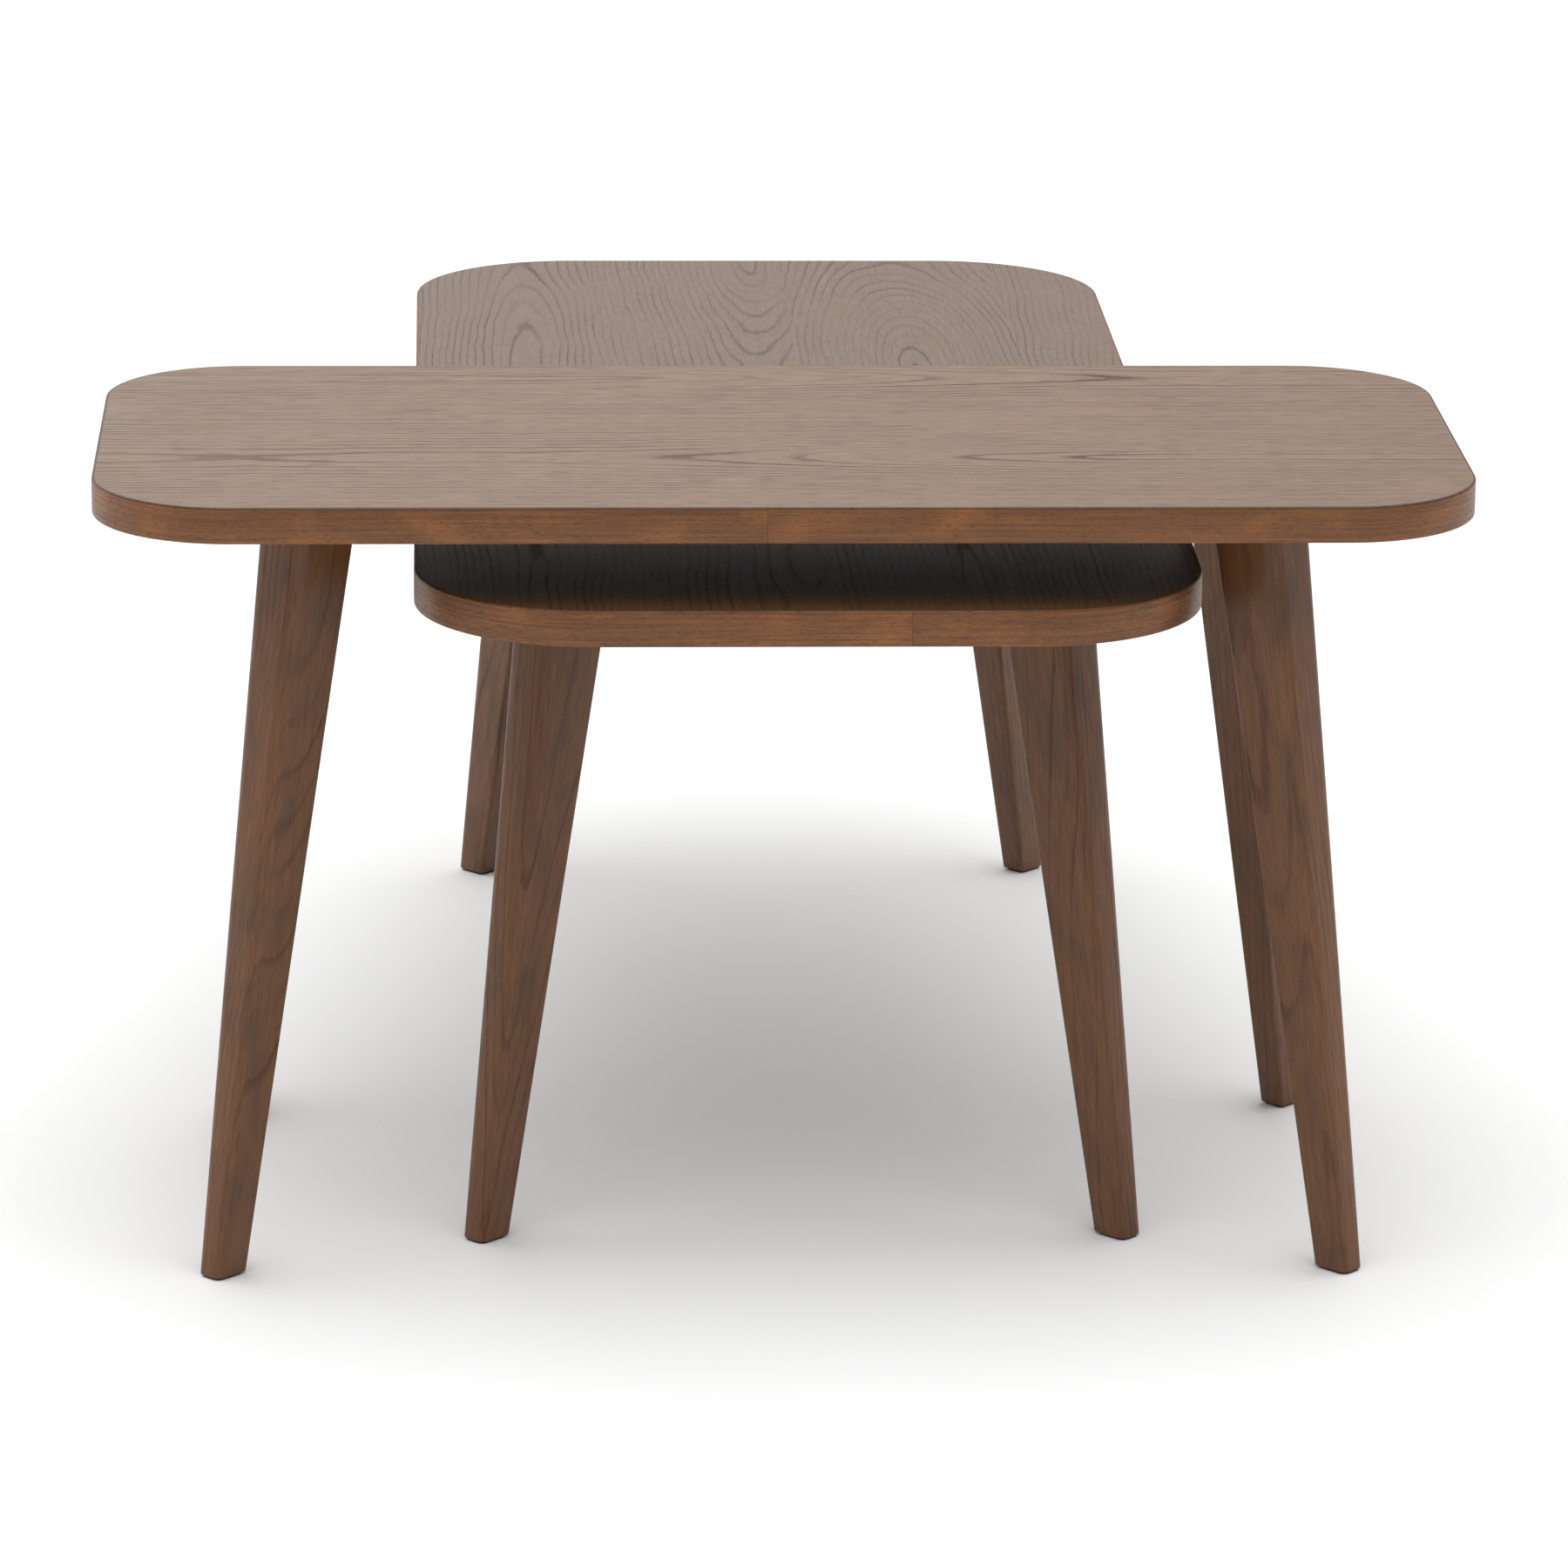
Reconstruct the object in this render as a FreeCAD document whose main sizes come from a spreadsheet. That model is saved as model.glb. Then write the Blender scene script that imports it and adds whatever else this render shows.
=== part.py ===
"""Nest of two walnut-stained ash tables: a tall one and a longer, lower one that passes beneath it.

Frame: origin on the floor under the middle of the overall outline, +Z up, X along the tall
top, Y along the low top. Both tables are built alike: a veneered and edge-banded panel on
four splayed, tapered legs, each leg held by a steel plate. All sizes are in millimetres.
"""

import FreeCAD, Part
import math
import os

import Sketcher
from FreeCAD import Placement, Rotation, Vector

SIZES = {
    # tall table: its top lies along X
    "tall_size_x": 880.0,
    "tall_size_y": 400.0,
    "tall_height": 515.0,
    "tall_corner_radius": 89.0,
    "tall_foot_inset_y": 28.5,
    # low table: its top lies along Y
    "low_size_x": 505.0,
    "low_size_y": 1050.0,
    "low_corner_radius": 115.0,
    "low_foot_inset_x": 45.0,
    "low_foot_inset_y": 104.0,
    # how the low table stands under the tall one
    "gap_between_tops": 41.5,
    "leg_clearance": 10.0,
    "low_shift_x": 16.0,
    "tall_setback_y": 7.0,
    # top panel, from the outside in
    "top_thickness": 23.5,
    "veneer_thickness": 0.6,
    "band_thickness": 2.0,
    "arris_radius": 1.5,
    # legs: radial is towards the corner of the table, tangential is across that
    "splay_slope": 0.167,
    "leg_top_radial": 50.0,
    "leg_top_tangential": 42.0,
    "leg_foot_radial": 26.0,
    "leg_foot_tangential": 20.0,
    "leg_outer_radius_top": 10.0,
    "leg_outer_radius_foot": 6.0,
    "leg_inner_radius": 3.0,
    # felt pad under each foot
    "pad_thickness": 1.5,
    "pad_inset": 2.0,
    # steel plate between leg and top
    "plate_thickness": 3.0,
    "plate_corner_radius": 8.0,
    "plate_margin": 8.0,
    "plate_hole_clearance": 0.6,
    "bolt_offset": 4.0,
    # machine screws that hold the plate to the top, and their threaded inserts
    "bolt_diameter": 6.0,
    "bolt_length": 14.0,
    "bolt_head_diameter": 10.5,
    "bolt_head_height": 3.3,
    "bolt_crown_diameter": 7.4,
    "bolt_socket_diameter": 4.0,
    "bolt_socket_depth": 2.0,
    "insert_diameter": 10.0,
    "insert_length": 13.0,
    "insert_hole_spare": 1.0,
    # countersunk wood screws that hold the plate to the leg
    "leg_screw_diameter": 5.0,
    "leg_screw_length": 42.0,
    "leg_screw_head_diameter": 9.6,
    "leg_screw_reach": 10.0,
    "leg_screw_tip_length": 5.0,
    "leg_screw_tip_diameter": 1.0,
}

TABLES = ("tall", "low")
CORNERS = {
    "front_left": (-1, -1),
    "front_right": (1, -1),
    "back_left": (-1, 1),
    "back_right": (1, 1),
}
BOLT_DIRECTIONS = ((1, 0), (-1, 0), (0, 1), (0, -1))
COS_45 = math.cos(math.pi / 4)
# an arris may round off at most this share of the band
ARRIS_LIMIT = 0.9

doc = FreeCAD.newDocument("nesting_tables")
sheet = doc.addObject("Spreadsheet::Sheet", "sizes")
for row, (alias, value) in enumerate(SIZES.items(), start=1):
    sheet.set(f"A{row}", alias)
    sheet.set(f"B{row}", str(value))
    sheet.setAlias(f"B{row}", alias)
doc.recompute()

sub_parts = []


def cell(alias):
    """The name of a driving dimension inside an expression."""
    return f"sizes.{alias}"


def number(expression):
    """The present value of an expression, for a sketch's first guess."""
    return float(sheet.evalExpression(expression))


def bind(thing, bindings):
    """Tie properties of a document object to expressions."""
    for path, expression in bindings.items():
        thing.setExpression(path, expression)


def keep(thing, label):
    """Take an object as a sub-part under the name its file will have."""
    thing.Label = label
    sub_parts.append(thing)
    return thing


# ---------------------------------------------------------------- expressions for places
BAND = cell("band_thickness")
VENEER = cell("veneer_thickness")
CORE_THICKNESS = f"({cell('top_thickness')} - 2 * {VENEER})"
WIDER_SIDE = f"max({cell('leg_top_radial')}; {cell('leg_top_tangential')})"
BOLT_REACH = f"({WIDER_SIDE} / 2 + {cell('bolt_offset')})"
PLATE_SIZE = f"(2 * ({BOLT_REACH} + {cell('plate_margin')}))"
PLATE_HOLE = f"({cell('bolt_diameter')} + {cell('plate_hole_clearance')})"
SINK_DEPTH = f"(({cell('leg_screw_head_diameter')} - {cell('leg_screw_diameter')}) / 2)"


def table_centre(table):
    """Middle of a table's top in the floor plan."""
    if table == "low":
        return cell("low_shift_x"), "0"
    front = f"-{cell('low_size_y')} / 2 + {cell('tall_setback_y')}"
    return "0", f"({front} + {cell('tall_size_y')} / 2)"


def top_height(table):
    """Height of the upper face of a table's top."""
    if table == "tall":
        return cell("tall_height")
    return f"({underside('tall')} - {cell('gap_between_tops')})"


def underside(table):
    """Height of the lower face of a table's top."""
    return f"({top_height(table)} - {cell('top_thickness')})"


def leg_length(table):
    """Upright height of a leg, from felt pad to steel plate."""
    return f"({underside(table)} - {cell('plate_thickness')} - {cell('pad_thickness')})"


def inner_reach(end):
    """How far a leg's inner side stands from its axis, seen square to the table, at one end."""
    sides = f"({cell(f'leg_{end}_radial')} + {cell(f'leg_{end}_tangential')}) / 2"
    radius = cell("leg_inner_radius")
    return f"(({sides} - 2 * {radius}) * {COS_45} + {radius})"


def foot_reach_x(table):
    """Distance of the feet from the table's middle along X.

    The tall table's legs leave the low top its clearance where it passes between them.
    """
    if table == "low":
        return f"({cell('low_size_x')} / 2 - {cell('low_foot_inset_x')})"
    rise = f"({top_height('low')} - {cell('pad_thickness')})"
    share = f"({rise} / {leg_length('tall')})"
    side = f"({inner_reach('foot')} + {share} * ({inner_reach('top')} - {inner_reach('foot')}))"
    lean = f"{rise} * {cell('splay_slope')} * {COS_45}"
    low_side = f"{cell('low_size_x')} / 2 + abs({cell('low_shift_x')})"
    return f"({low_side} + {cell('leg_clearance')} + {side} + {lean})"


def foot_place(table, corner):
    """Middle of a foot in the floor plan."""
    centre_x, centre_y = table_centre(table)
    side_x, side_y = CORNERS[corner]
    reach_y = f"({cell(table + '_size_y')} / 2 - {cell(table + '_foot_inset_y')})"
    x = f"{centre_x} + {side_x} * {foot_reach_x(table)}"
    y = f"{centre_y} + {side_y} * {reach_y}"
    return f"({x})", f"({y})"


def leg_run(table):
    """How far the top of a leg leans in from its foot, measured towards the table's middle."""
    return f"({leg_length(table)} * {cell('splay_slope')})"


def plate_place(table, corner):
    """Middle of a steel plate, and of the leg's top, in the floor plan."""
    foot_x, foot_y = foot_place(table, corner)
    side_x, side_y = CORNERS[corner]
    lean = f"{leg_run(table)} * {COS_45}"
    return f"({foot_x} - {side_x} * {lean})", f"({foot_y} - {side_y} * {lean})"


def outward_angle(corner):
    """Turn about Z that points a leg's own +X at the corner of the table."""
    side_x, side_y = CORNERS[corner]
    return math.degrees(math.atan2(side_y, side_x))


def place(thing, x, y, z, angle=0.0):
    """Stand an object at a bound place, turned about Z."""
    thing.Placement = Placement(Vector(0, 0, 0), Rotation(Vector(0, 0, 1), angle))
    bind(thing, {"Placement.Base.x": x, "Placement.Base.y": y, "Placement.Base.z": z})


# ---------------------------------------------------------------- sketches
def new_sketch(body, name, lift="0", shift="0"):
    """A sketch parallel to the body's floor plane, lifted and shifted by expressions."""
    planes = [item for item in body.Origin.OriginFeatures if item.Role == "XY_Plane"]
    sketch = body.newObject("Sketcher::SketchObject", name)
    sketch.AttachmentSupport = (planes[0], [""])
    sketch.MapMode = "FlatFace"
    bind(sketch, {"AttachmentOffset.Base.x": shift, "AttachmentOffset.Base.z": lift})
    return sketch


def add_bound(sketch, constraint, expression):
    """Add a dimension to a sketch and tie it to an expression."""
    index = sketch.addConstraint(constraint)
    sketch.setExpression(f"Constraints[{index}]", expression)


def rounded_rectangle(sketch, size_x, size_y, radius_left, radius_right):
    """A centred rectangle with round corners: one radius on its -X side, one on its +X side."""
    half_x = number(size_x) / 2
    half_y = number(size_y) / 2
    left = number(radius_left)
    right = number(radius_right)
    up = Vector(0, 0, 1)
    quarter = math.pi / 2
    first = sketch.GeometryCount
    ends = (
        (Vector(-half_x + left, -half_y, 0), Vector(half_x - right, -half_y, 0)),
        (Vector(half_x, -half_y + right, 0), Vector(half_x, half_y - right, 0)),
        (Vector(half_x - right, half_y, 0), Vector(-half_x + left, half_y, 0)),
        (Vector(-half_x, half_y - left, 0), Vector(-half_x, -half_y + left, 0)),
    )
    for start, end in ends:
        sketch.addGeometry(Part.LineSegment(start, end), False)
    arcs = (
        (half_x - right, -half_y + right, right, 3),
        (half_x - right, half_y - right, right, 0),
        (-half_x + left, half_y - left, left, 1),
        (-half_x + left, -half_y + left, left, 2),
    )
    for x, y, radius, quadrant in arcs:
        circle = Part.Circle(Vector(x, y, 0), up, radius)
        arc = Part.ArcOfCircle(circle, quadrant * quarter, (quadrant + 1) * quarter)
        sketch.addGeometry(arc, False)
    for corner in range(4):
        line = first + corner
        arc = first + 4 + corner
        following = first + (corner + 1) % 4
        sketch.addConstraint(Sketcher.Constraint("Tangent", line, 2, arc, 1))
        sketch.addConstraint(Sketcher.Constraint("Tangent", arc, 2, following, 1))
    for line, kind in ((0, "Horizontal"), (1, "Vertical"), (2, "Horizontal"), (3, "Vertical")):
        sketch.addConstraint(Sketcher.Constraint(kind, first + line))
    # distances run from the sketch's origin, which is point 1 of its X axis
    reach_x = Sketcher.Constraint("DistanceX", -1, 1, first + 1, 1, half_x)
    add_bound(sketch, reach_x, f"{size_x} / 2")
    reach_back = Sketcher.Constraint("DistanceX", first + 3, 1, -1, 1, half_x)
    add_bound(sketch, reach_back, f"{size_x} / 2")
    reach_y = Sketcher.Constraint("DistanceY", -1, 1, first + 2, 1, half_y)
    add_bound(sketch, reach_y, f"{size_y} / 2")
    reach_down = Sketcher.Constraint("DistanceY", first, 1, -1, 1, half_y)
    add_bound(sketch, reach_down, f"{size_y} / 2")
    radii = ((0, radius_right), (2, radius_left))
    for corner, radius in radii:
        arc = first + 4 + corner
        add_bound(sketch, Sketcher.Constraint("Radius", arc, number(radius)), radius)
        sketch.addConstraint(Sketcher.Constraint("Equal", arc, first + 4 + corner + 1))


def pad_body(name, outlines, height):
    """A body made by raising a sketch of one or more rounded rectangles."""
    body = doc.addObject("PartDesign::Body", name)
    sketch = new_sketch(body, name + "_outline")
    for size_x, size_y, radius in outlines:
        rounded_rectangle(sketch, size_x, size_y, radius, radius)
    pad = body.newObject("PartDesign::Pad", name + "_pad")
    pad.Profile = sketch
    bind(pad, {"Length": height})
    return body, pad


# ---------------------------------------------------------------- primitives
def cylinder(name, diameter, height, x="0", y="0", z="0", angle=0.0):
    """A bound upright cylinder."""
    thing = doc.addObject("Part::Cylinder", name)
    bind(thing, {"Radius": f"({diameter}) / 2", "Height": height})
    place(thing, x, y, z, angle)
    return thing


def cone(name, lower, upper, height, x, y, z):
    """A bound upright cone between two diameters."""
    thing = doc.addObject("Part::Cone", name)
    bind(thing, {"Radius1": f"({lower}) / 2", "Radius2": f"({upper}) / 2", "Height": height})
    place(thing, x, y, z)
    return thing


def fuse(name, shapes):
    """Join shapes into one solid."""
    thing = doc.addObject("Part::MultiFuse", name)
    thing.Shapes = shapes
    return thing


def group(name, shapes):
    """Hold shapes together as separate solids of one kind."""
    thing = doc.addObject("Part::Compound", name)
    thing.Links = shapes
    return thing


def cut(name, base, tools):
    """Take a group of shapes out of a base."""
    thing = doc.addObject("Part::Cut", name)
    thing.Base = base
    thing.Tool = group(name + "_tools", tools)
    return thing


# ---------------------------------------------------------------- fastener places
def bolt_places(table):
    """Name and floor-plan place of every machine screw of a table."""
    for corner in CORNERS:
        plate_x, plate_y = plate_place(table, corner)
        # the plate's corner holes lie along X and Y, because the plate is turned by 45 degrees
        reach = f"{BOLT_REACH} / {COS_45}"
        for index, (along_x, along_y) in enumerate(BOLT_DIRECTIONS, start=1):
            x = f"({plate_x} + {along_x} * {reach})"
            y = f"({plate_y} + {along_y} * {reach})"
            yield f"{corner}_{index}", x, y


def leg_screw_places(table, corner):
    """Name and floor-plan place of the two wood screws of one leg."""
    plate_x, plate_y = plate_place(table, corner)
    side_x, side_y = CORNERS[corner]
    reach = f"{cell('leg_screw_reach')} * {COS_45}"
    for name, sense in (("outer", 1), ("inner", -1)):
        x = f"({plate_x} + {sense * side_x} * {reach})"
        y = f"({plate_y} + {sense * side_y} * {reach})"
        yield f"{corner}_{name}", x, y


# ---------------------------------------------------------------- top panel
def make_top(table):
    """Core board, face and backing veneers and the wooden band round the edge."""
    centre_x, centre_y = table_centre(table)
    size_x = cell(table + "_size_x")
    size_y = cell(table + "_size_y")
    radius = cell(table + "_corner_radius")
    inner = (f"({size_x} - 2 * {BAND})", f"({size_y} - 2 * {BAND})", f"({radius} - {BAND})")
    under = underside(table)

    def insert_holes(name, height, z):
        return [
            cylinder(f"{table}_{name}_hole_{spot}", cell("insert_diameter"), height, x, y, z)
            for spot, x, y in bolt_places(table)
        ]

    core, _ = pad_body(f"{table}_core_blank", [inner], CORE_THICKNESS)
    core_z = f"({under} + {VENEER})"
    place(core, centre_x, centre_y, core_z)
    core_depth = f"({cell('insert_length')} + {cell('insert_hole_spare')} - {VENEER})"
    keep(cut(f"{table}_core", core, insert_holes("core", core_depth, core_z)), f"{table}_core_panel")

    face, _ = pad_body(f"{table}_face", [inner], VENEER)
    place(face, centre_x, centre_y, f"{top_height(table)} - {VENEER}")
    keep(face, f"{table}_face_veneer")

    backing, _ = pad_body(f"{table}_backing_blank", [inner], VENEER)
    place(backing, centre_x, centre_y, under)
    holes = insert_holes("backing", VENEER, under)
    keep(cut(f"{table}_backing", backing, holes), f"{table}_backing_veneer")

    outer = (size_x, size_y, radius)
    band, ring = pad_body(f"{table}_band", [outer, inner], cell("top_thickness"))
    doc.recompute()
    arrises = band.newObject("PartDesign::Fillet", f"{table}_arrises")
    arrises.Base = (ring, outer_edges(ring.Shape, number(f"{size_x} / 2"), number(f"{size_y} / 2")))
    bind(arrises, {"Radius": f"min({cell('arris_radius')}; {ARRIS_LIMIT} * {BAND})"})
    band.Tip = arrises
    place(band, centre_x, centre_y, under)
    keep(band, f"{table}_edge_band")


def outer_edges(ring, half_x, half_y):
    """Names of the level edges of a ring that run round its outside."""
    names = []
    for index, edge in enumerate(ring.Edges, start=1):
        box = edge.BoundBox
        level = box.ZLength < 1e-6
        touches_x = max(abs(box.XMin), abs(box.XMax)) > half_x - 1e-4
        touches_y = max(abs(box.YMin), abs(box.YMax)) > half_y - 1e-4
        if level and (touches_x or touches_y):
            names.append(f"Edge{index}")
    return names


# ---------------------------------------------------------------- legs and feet
def make_leg(table, corner):
    """Solid ash leg: tapered, rounder on its outer side, with pilot holes in its top."""
    name = f"{table}_leg_{corner}"
    body = doc.addObject("PartDesign::Body", name + "_blank")
    foot = new_sketch(body, name + "_foot_section")
    rounded_rectangle(foot, cell("leg_foot_radial"), cell("leg_foot_tangential"),
                      cell("leg_inner_radius"), cell("leg_outer_radius_foot"))
    top = new_sketch(body, name + "_top_section", leg_length(table), f"-{leg_run(table)}")
    rounded_rectangle(top, cell("leg_top_radial"), cell("leg_top_tangential"),
                      cell("leg_inner_radius"), cell("leg_outer_radius_top"))
    loft = body.newObject("PartDesign::AdditiveLoft", name + "_taper")
    loft.Profile = foot
    loft.Sections = [top]
    loft.Ruled = True
    foot_x, foot_y = foot_place(table, corner)
    place(body, foot_x, foot_y, cell("pad_thickness"), outward_angle(corner))
    pilots = [
        screw_shape(f"{table}_pilot_{spot}", x, y, table, head=False)
        for spot, x, y in leg_screw_places(table, corner)
    ]
    keep(cut(name + "_bored", body, pilots), name)


def make_foot_pad(table, corner):
    """Felt pad stuck under a foot, a little smaller than the foot."""
    name = f"{table}_felt_pad_{corner}"
    body = doc.addObject("PartDesign::Body", name)
    sketch = new_sketch(body, name + "_outline")
    inset = f"2 * {cell('pad_inset')}"
    rounded_rectangle(sketch, f"({cell('leg_foot_radial')} - {inset})",
                      f"({cell('leg_foot_tangential')} - {inset})",
                      cell("leg_inner_radius"),
                      f"({cell('leg_outer_radius_foot')} - {cell('pad_inset')})")
    pad = body.newObject("PartDesign::Pad", name + "_pad")
    pad.Profile = sketch
    bind(pad, {"Length": cell("pad_thickness")})
    foot_x, foot_y = foot_place(table, corner)
    place(body, foot_x, foot_y, "0", outward_angle(corner))
    keep(body, name)


# ---------------------------------------------------------------- plates and fasteners
def screw_shape(name, x, y, table, head=True):
    """A countersunk wood screw pointing down, or only the part of it that is in the leg."""
    plate_top = underside(table)
    leg_top = f"({plate_top} - {cell('plate_thickness')})"
    tip_z = f"({plate_top} - {cell('leg_screw_length')})"
    shank_z = f"({tip_z} + {cell('leg_screw_tip_length')})"
    shank_top = f"({plate_top} - {SINK_DEPTH})" if head else leg_top
    thick = cell("leg_screw_diameter")
    shapes = [
        cone(name + "_tip", cell("leg_screw_tip_diameter"), thick,
             cell("leg_screw_tip_length"), x, y, tip_z),
        cylinder(name + "_shank", thick, f"{shank_top} - {shank_z}", x, y, shank_z),
    ]
    if head:
        shapes.append(countersink(name + "_head", x, y, table))
    return fuse(name, shapes)


def countersink(name, x, y, table):
    """The cone of a countersunk head, flush with the plate's upper face."""
    z = f"({underside(table)} - {SINK_DEPTH})"
    return cone(name, cell("leg_screw_diameter"), cell("leg_screw_head_diameter"), SINK_DEPTH, x, y, z)


def make_plate(table, corner):
    """Zinc-plated steel plate with four clear holes and two countersunk holes."""
    name = f"{table}_leg_plate_{corner}"
    outline = (PLATE_SIZE, PLATE_SIZE, cell("plate_corner_radius"))
    blank, _ = pad_body(name + "_blank", [outline], cell("plate_thickness"))
    plate_x, plate_y = plate_place(table, corner)
    plate_z = f"({underside(table)} - {cell('plate_thickness')})"
    place(blank, plate_x, plate_y, plate_z, outward_angle(corner))
    holes = [
        cylinder(f"{table}_plate_hole_{spot}", PLATE_HOLE, cell("plate_thickness"), x, y, plate_z)
        for spot, x, y in bolt_places(table)
        if spot.startswith(corner)
    ]
    for spot, x, y in leg_screw_places(table, corner):
        hole = f"{table}_plate_screw_hole_{spot}"
        bore = cylinder(hole + "_bore", cell("leg_screw_diameter"), cell("plate_thickness"), x, y, plate_z)
        holes.append(fuse(hole, [bore, countersink(hole + "_sink", x, y, table)]))
    keep(cut(name + "_drilled", blank, holes), name)


def make_bolts(table):
    """Button-head machine screws up through the plates, and the inserts that they turn into."""
    under = underside(table)
    plate_bottom = f"({under} - {cell('plate_thickness')})"
    head_z = f"({plate_bottom} - {cell('bolt_head_height')})"
    bolts = []
    inserts = []
    for spot, x, y in bolt_places(table):
        name = f"{table}_plate_bolt_{spot}"
        shank = cylinder(name + "_shank", cell("bolt_diameter"), cell("bolt_length"), x, y, plate_bottom)
        head = cone(name + "_head", cell("bolt_crown_diameter"), cell("bolt_head_diameter"),
                    cell("bolt_head_height"), x, y, head_z)
        socket = cylinder(name + "_socket", cell("bolt_socket_diameter"),
                          cell("bolt_socket_depth"), x, y, head_z)
        bolts.append(cut(name, fuse(name + "_blank", [shank, head]), [socket]))
        name = f"{table}_threaded_insert_{spot}"
        length = cell("insert_length")
        sleeve = cylinder(name + "_sleeve", cell("insert_diameter"), length, x, y, under)
        bore = cylinder(name + "_bore", cell("bolt_diameter"), length, x, y, under)
        inserts.append(cut(name, sleeve, [bore]))
    keep(group(f"{table}_bolt_group", bolts), f"{table}_plate_bolts")
    keep(group(f"{table}_insert_group", inserts), f"{table}_threaded_inserts")


def make_leg_screws(table):
    """The wood screws that hold each plate to the top of its leg."""
    screws = [
        screw_shape(f"{table}_leg_screw_{spot}", x, y, table)
        for corner in CORNERS
        for spot, x, y in leg_screw_places(table, corner)
    ]
    keep(group(f"{table}_leg_screw_group", screws), f"{table}_leg_screws")


# ---------------------------------------------------------------- the whole nest
for table in TABLES:
    make_top(table)
    for corner in CORNERS:
        make_leg(table, corner)
        make_foot_pad(table, corner)
        make_plate(table, corner)
    make_bolts(table)
    make_leg_screws(table)
doc.recompute()

for thing in doc.Objects:
    bad = [word for word in thing.State if word in ("Invalid", "Error")]
    if bad:
        raise RuntimeError(f"{thing.Label}: {bad}")
for thing in sub_parts:
    if thing.Shape.isNull() or not thing.Shape.isValid() or thing.Shape.Volume <= 0:
        raise RuntimeError(f"{thing.Label}: bad shape")

os.makedirs("parts", exist_ok=True)
for thing in sub_parts:
    thing.Shape.exportStep(os.path.join("parts", thing.Label + ".step"))
print(len(sub_parts), "sub-parts written")
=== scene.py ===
import math

import bpy
from mathutils import Matrix, Vector


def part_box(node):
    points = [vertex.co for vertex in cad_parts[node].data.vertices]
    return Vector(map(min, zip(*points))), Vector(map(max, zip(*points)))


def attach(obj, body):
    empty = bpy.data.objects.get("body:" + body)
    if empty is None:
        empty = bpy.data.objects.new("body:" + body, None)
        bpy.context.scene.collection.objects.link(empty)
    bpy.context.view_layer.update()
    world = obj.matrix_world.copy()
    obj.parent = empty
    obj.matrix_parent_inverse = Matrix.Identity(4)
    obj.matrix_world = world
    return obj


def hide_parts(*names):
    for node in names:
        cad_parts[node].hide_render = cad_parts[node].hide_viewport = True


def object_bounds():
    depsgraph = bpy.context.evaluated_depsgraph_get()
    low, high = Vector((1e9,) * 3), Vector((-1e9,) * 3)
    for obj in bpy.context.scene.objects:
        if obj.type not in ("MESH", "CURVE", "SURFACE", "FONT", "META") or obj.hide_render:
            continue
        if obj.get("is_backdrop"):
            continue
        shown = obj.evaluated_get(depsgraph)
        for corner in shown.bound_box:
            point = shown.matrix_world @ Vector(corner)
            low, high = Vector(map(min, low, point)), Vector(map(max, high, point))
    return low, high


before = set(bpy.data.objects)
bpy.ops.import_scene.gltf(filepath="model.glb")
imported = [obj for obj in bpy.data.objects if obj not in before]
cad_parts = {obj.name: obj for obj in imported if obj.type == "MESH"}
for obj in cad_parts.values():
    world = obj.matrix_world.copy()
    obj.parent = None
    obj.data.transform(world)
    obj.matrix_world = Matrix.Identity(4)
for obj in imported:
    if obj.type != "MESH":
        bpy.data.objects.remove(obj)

cad_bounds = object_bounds()

# ------------------------------------------------------------------ core boards
# The board inside each top: 22 mm medium-density fibreboard, sawn to a rounded rectangle and
# sanded flat. Veneers are glued to both faces and a wooden band to its edge, so it is hidden.


def linear(code):
    """The linear colour of an sRGB hex code."""
    parts = [int(code[i:i + 2], 16) / 255 for i in (1, 3, 5)]
    return tuple(c / 12.92 if c <= 0.04045 else ((c + 0.055) / 1.055) ** 2.4 for c in parts) + (1.0,)


def add_node(tree, kind, settings=None, links=None, output=0):
    """Add a shader node, with values or sources for its inputs. Returns one of its outputs."""
    new = tree.nodes.new(kind)
    for name, value in (settings or {}).items():
        setattr(new, name, value)
    for socket, source in (links or {}).items():
        if isinstance(source, bpy.types.NodeSocket):
            tree.links.new(source, new.inputs[socket])
        else:
            new.inputs[socket].default_value = source
    return new.outputs[output] if new.outputs else None


def new_material(name):
    """A material with its shader, whose inputs the caller sets."""
    material = bpy.data.materials.new(name)
    material.use_nodes = True
    tree = material.node_tree
    tree.nodes.clear()
    surface = add_node(tree, "ShaderNodeBsdfPrincipled")
    add_node(tree, "ShaderNodeOutputMaterial", links={"Surface": surface})
    return material, tree, surface.node


def dress(thing, material):
    """Give an object one material all over."""
    thing.data.materials.clear()
    thing.data.materials.append(material)


def raw_fibreboard():
    """Sawn and sanded fibreboard: flat tan with short felted fibres, no shine."""
    material, tree, shader = new_material("raw_fibreboard")
    place = add_node(tree, "ShaderNodeTexCoord", output="Object")
    # fibres about 2 mm long
    fibres = add_node(tree, "ShaderNodeTexNoise", links={"Vector": place, "Scale": 500.0, "Detail": 4.0})
    tone = add_node(tree, "ShaderNodeMix", {"data_type": "RGBA"},
                    {"Factor": fibres, 6: linear("#8a6f50"), 7: linear("#b3956f")}, output=2)
    tree.links.new(tone, shader.inputs["Base Color"])
    nap = add_node(tree, "ShaderNodeBump", links={"Height": fibres, "Distance": 0.0001, "Strength": 0.5})
    tree.links.new(nap, shader.inputs["Normal"])
    shader.inputs["Roughness"].default_value = 0.9
    return material


fibreboard = raw_fibreboard()
TABLES = ("tall", "low")
for table in TABLES:
    dress(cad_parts[f"{table}_core_panel"], fibreboard)

# ------------------------------------------------------------------ face and backing veneers
# Sliced ash, 0.6 mm thick, in leaves laid side by side and pressed onto the core. It is stained
# walnut brown, so the open pores of each growth ring take more stain and show as dark broken
# lines, and sprayed with a matt lacquer that turns pale where light grazes it.


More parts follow.
